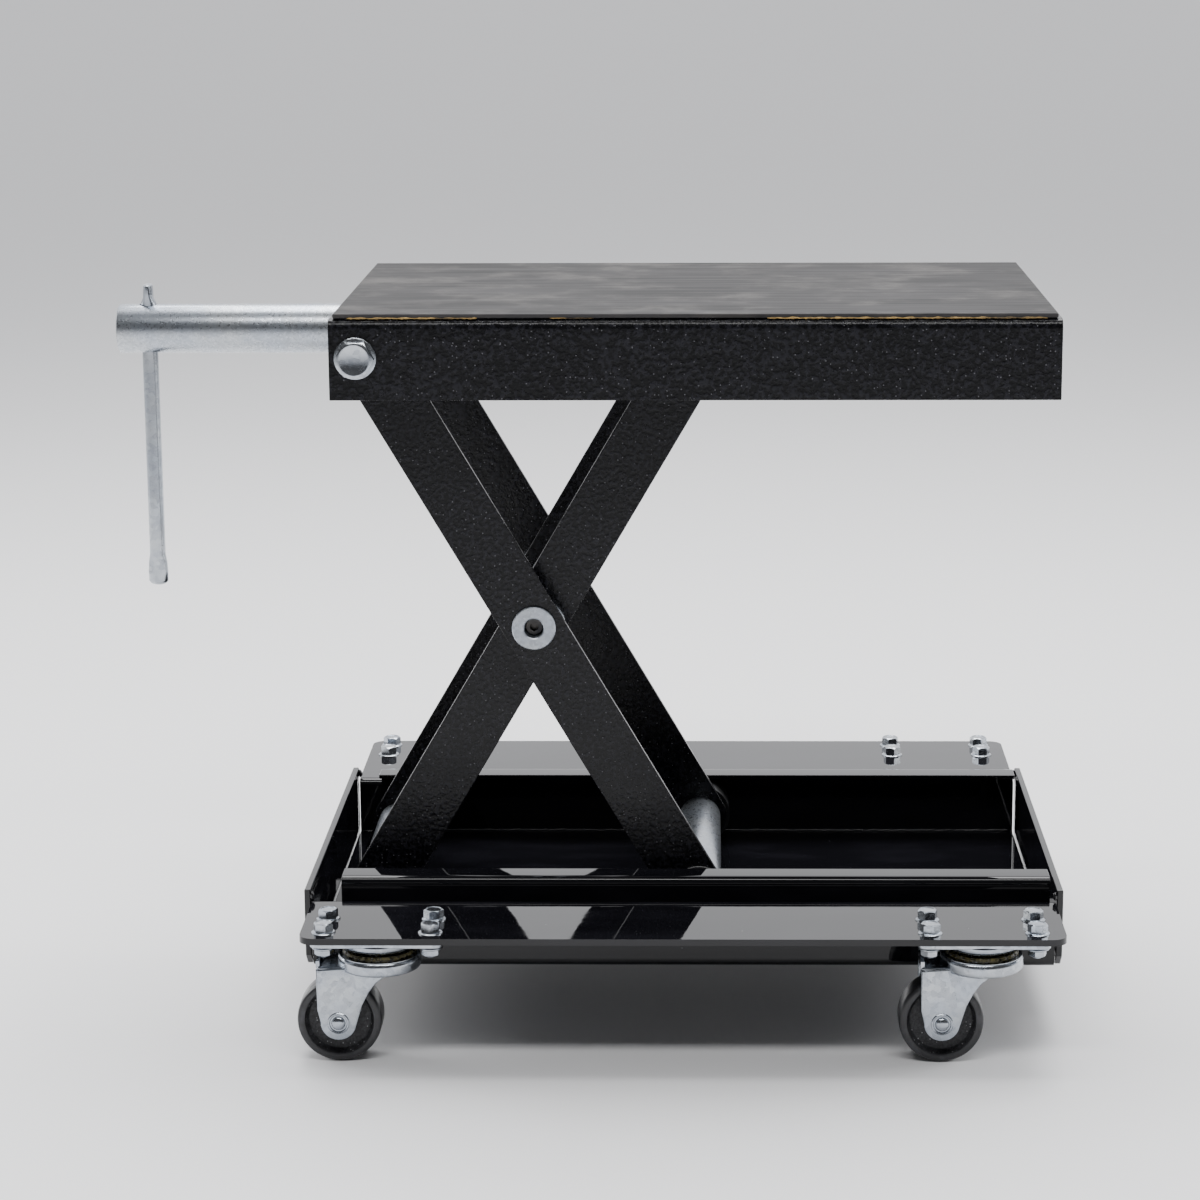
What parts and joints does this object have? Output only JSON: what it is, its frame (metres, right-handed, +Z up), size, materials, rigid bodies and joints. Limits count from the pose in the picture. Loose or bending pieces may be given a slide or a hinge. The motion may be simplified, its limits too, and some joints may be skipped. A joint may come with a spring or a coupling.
{
  "type": "scissor jack on a caster dolly",
  "caption": "Screw-driven scissor jack with a rubber-topped deck, standing in a low steel dolly on swivel casters, raised by a crank tube with a sliding bar.",
  "frame": {"origin": "centre of the bounding box on the floor plane that the wheels stand on", "axes": "+X along the length, away from the crank; +Y to the rear, where the wide flange is; +Z up"},
  "size_m": [0.59, 0.453, 0.4429],
  "materials": {
    "gloss_black_paint": "gloss",
    "satin_black_paint": "satin, fine orange peel",
    "rubber": "matt",
    "zinc_plate": "bright zinc plate",
    "black_steel": "black oxide, oiled",
    "cast_iron": "black painted casting",
    "black_nylon": "matt"
  },
  "bodies": {
    "base": {"dolly_tray": "gloss_black_paint", "left_end_plate": "gloss_black_paint", "right_end_plate": "gloss_black_paint", "base_plate": "gloss_black_paint", "front_rail": "gloss_black_paint", "rear_rail": "gloss_black_paint", "pivot_ear_front": "satin_black_paint", "pivot_ear_rear": "satin_black_paint", "caster_plate_front_left": "zinc_plate", "caster_bolt_front_left_1": "zinc_plate", "caster_bolt_front_left_2": "zinc_plate", "caster_bolt_front_left_3": "zinc_plate", "caster_bolt_front_left_4": "zinc_plate", "caster_plate_front_right": "zinc_plate", "caster_bolt_front_right_1": "zinc_plate", "caster_bolt_front_right_2": "zinc_plate", "caster_bolt_front_right_3": "zinc_plate", "caster_bolt_front_right_4": "zinc_plate", "caster_plate_rear_left": "zinc_plate", "caster_bolt_rear_left_1": "zinc_plate", "caster_bolt_rear_left_2": "zinc_plate", "caster_bolt_rear_left_3": "zinc_plate", "caster_bolt_rear_left_4": "zinc_plate", "caster_plate_rear_right": "zinc_plate", "caster_bolt_rear_right_1": "zinc_plate", "caster_bolt_rear_right_2": "zinc_plate", "caster_bolt_rear_right_3": "zinc_plate", "caster_bolt_rear_right_4": "zinc_plate"},
    "inner_arms": {"inner_arm_front": "satin_black_paint", "inner_arm_rear": "satin_black_paint", "base_pivot_shaft": "zinc_plate", "centre_shaft": "zinc_plate", "centre_screw_front": "black_steel", "centre_screw_rear": "black_steel", "arm_spacer_front": "zinc_plate", "arm_spacer_rear": "zinc_plate"},
    "outer_arms": {"outer_arm_front": "satin_black_paint", "outer_arm_rear": "satin_black_paint", "roller_shaft": "zinc_plate"},
    "front_roller": {"roller_front": "black_nylon"},
    "rear_roller": {"roller_rear": "black_nylon"},
    "deck": {"deck_pan": "satin_black_paint", "rubber_pad": "rubber", "deck_bolt_front": "zinc_plate", "deck_bolt_rear": "zinc_plate", "deck_sleeve_front": "zinc_plate", "deck_sleeve_rear": "zinc_plate", "bearing_block": "black_steel"},
    "nut": {"nut_block": "black_steel"},
    "crank": {"lead_screw": "black_steel", "crank_tube": "zinc_plate"},
    "crank_bar": {"tommy_bar": "zinc_plate"},
    "caster_front_left": {"caster_fork_front_left": "zinc_plate"},
    "wheel_front_left": {"caster_wheel_front_left": "cast_iron"},
    "caster_front_right": {"caster_fork_front_right": "zinc_plate"},
    "wheel_front_right": {"caster_wheel_front_right": "cast_iron"},
    "caster_rear_left": {"caster_fork_rear_left": "zinc_plate"},
    "wheel_rear_left": {"caster_wheel_rear_left": "cast_iron"},
    "caster_rear_right": {"caster_fork_rear_right": "zinc_plate"},
    "wheel_rear_right": {"caster_wheel_rear_right": "cast_iron"}
  },
  "joints": [
    {"name": "scissor_fold", "type": "hinge", "parent": "base", "child": "inner_arms", "pos_m": [-0.1311, -0.009, 0.0676], "axis": [0, -1, 0], "range_deg": [-50, 3]},
    {"name": "outer_arm_turn", "type": "hinge", "parent": "inner_arms", "child": "outer_arms", "pos_m": [-0.02921, -0.009, 0.24127], "axis": [0, -1, 0], "range_deg": [-6, 100]},
    {"name": "deck_level", "type": "hinge", "parent": "outer_arms", "child": "deck", "pos_m": [-0.1311, -0.009, 0.41493], "axis": [0, -1, 0], "range_deg": [-50, 3]},
    {"name": "nut_level", "type": "hinge", "parent": "inner_arms", "child": "nut", "pos_m": [0.07268, -0.009, 0.41493], "axis": [0, -1, 0], "range_deg": [-3, 50]},
    {"name": "front_roller_spin", "type": "hinge", "parent": "outer_arms", "child": "front_roller", "pos_m": [0.07268, -0.1138, 0.0676], "axis": [0, 1, 0], "continuous": true},
    {"name": "rear_roller_spin", "type": "hinge", "parent": "outer_arms", "child": "rear_roller", "pos_m": [0.07268, 0.0958, 0.0676], "axis": [0, 1, 0], "continuous": true},
    {"name": "crank_turn", "type": "hinge", "parent": "deck", "child": "crank", "pos_m": [-0.1311, -0.009, 0.41493], "axis": [1, 0, 0], "continuous": true},
    {"name": "crank_bar_slide", "type": "slide", "parent": "crank", "child": "crank_bar", "axis": [0, 0, 1], "range_m": [0, 0.12]},
    {"name": "swivel_front_left", "type": "hinge", "parent": "base", "child": "caster_front_left", "pos_m": [-0.1185, -0.2015, 0.06], "axis": [0, 0, 1], "continuous": true},
    {"name": "roll_front_left", "type": "hinge", "parent": "caster_front_left", "child": "wheel_front_left", "pos_m": [-0.1425, -0.2015, 0.0254], "axis": [0, 1, 0], "continuous": true},
    {"name": "swivel_front_right", "type": "hinge", "parent": "base", "child": "caster_front_right", "pos_m": [0.2415, -0.2015, 0.06], "axis": [0, 0, 1], "continuous": true},
    {"name": "roll_front_right", "type": "hinge", "parent": "caster_front_right", "child": "wheel_front_right", "pos_m": [0.2175, -0.2015, 0.0254], "axis": [0, 1, 0], "continuous": true},
    {"name": "swivel_rear_left", "type": "hinge", "parent": "base", "child": "caster_rear_left", "pos_m": [-0.1185, 0.2015, 0.06], "axis": [0, 0, 1], "continuous": true},
    {"name": "roll_rear_left", "type": "hinge", "parent": "caster_rear_left", "child": "wheel_rear_left", "pos_m": [-0.1425, 0.2015, 0.0254], "axis": [0, 1, 0], "continuous": true},
    {"name": "swivel_rear_right", "type": "hinge", "parent": "base", "child": "caster_rear_right", "pos_m": [0.2415, 0.2015, 0.06], "axis": [0, 0, 1], "continuous": true},
    {"name": "roll_rear_right", "type": "hinge", "parent": "caster_rear_right", "child": "wheel_rear_right", "pos_m": [0.2175, 0.2015, 0.0254], "axis": [0, 1, 0], "continuous": true}
  ],
  "couplings": [
    {"joint": "outer_arm_turn", "follows": "scissor_fold", "ratio": -2},
    {"joint": "deck_level", "follows": "scissor_fold", "ratio": 1},
    {"joint": "nut_level", "follows": "scissor_fold", "ratio": -1}
  ]
}
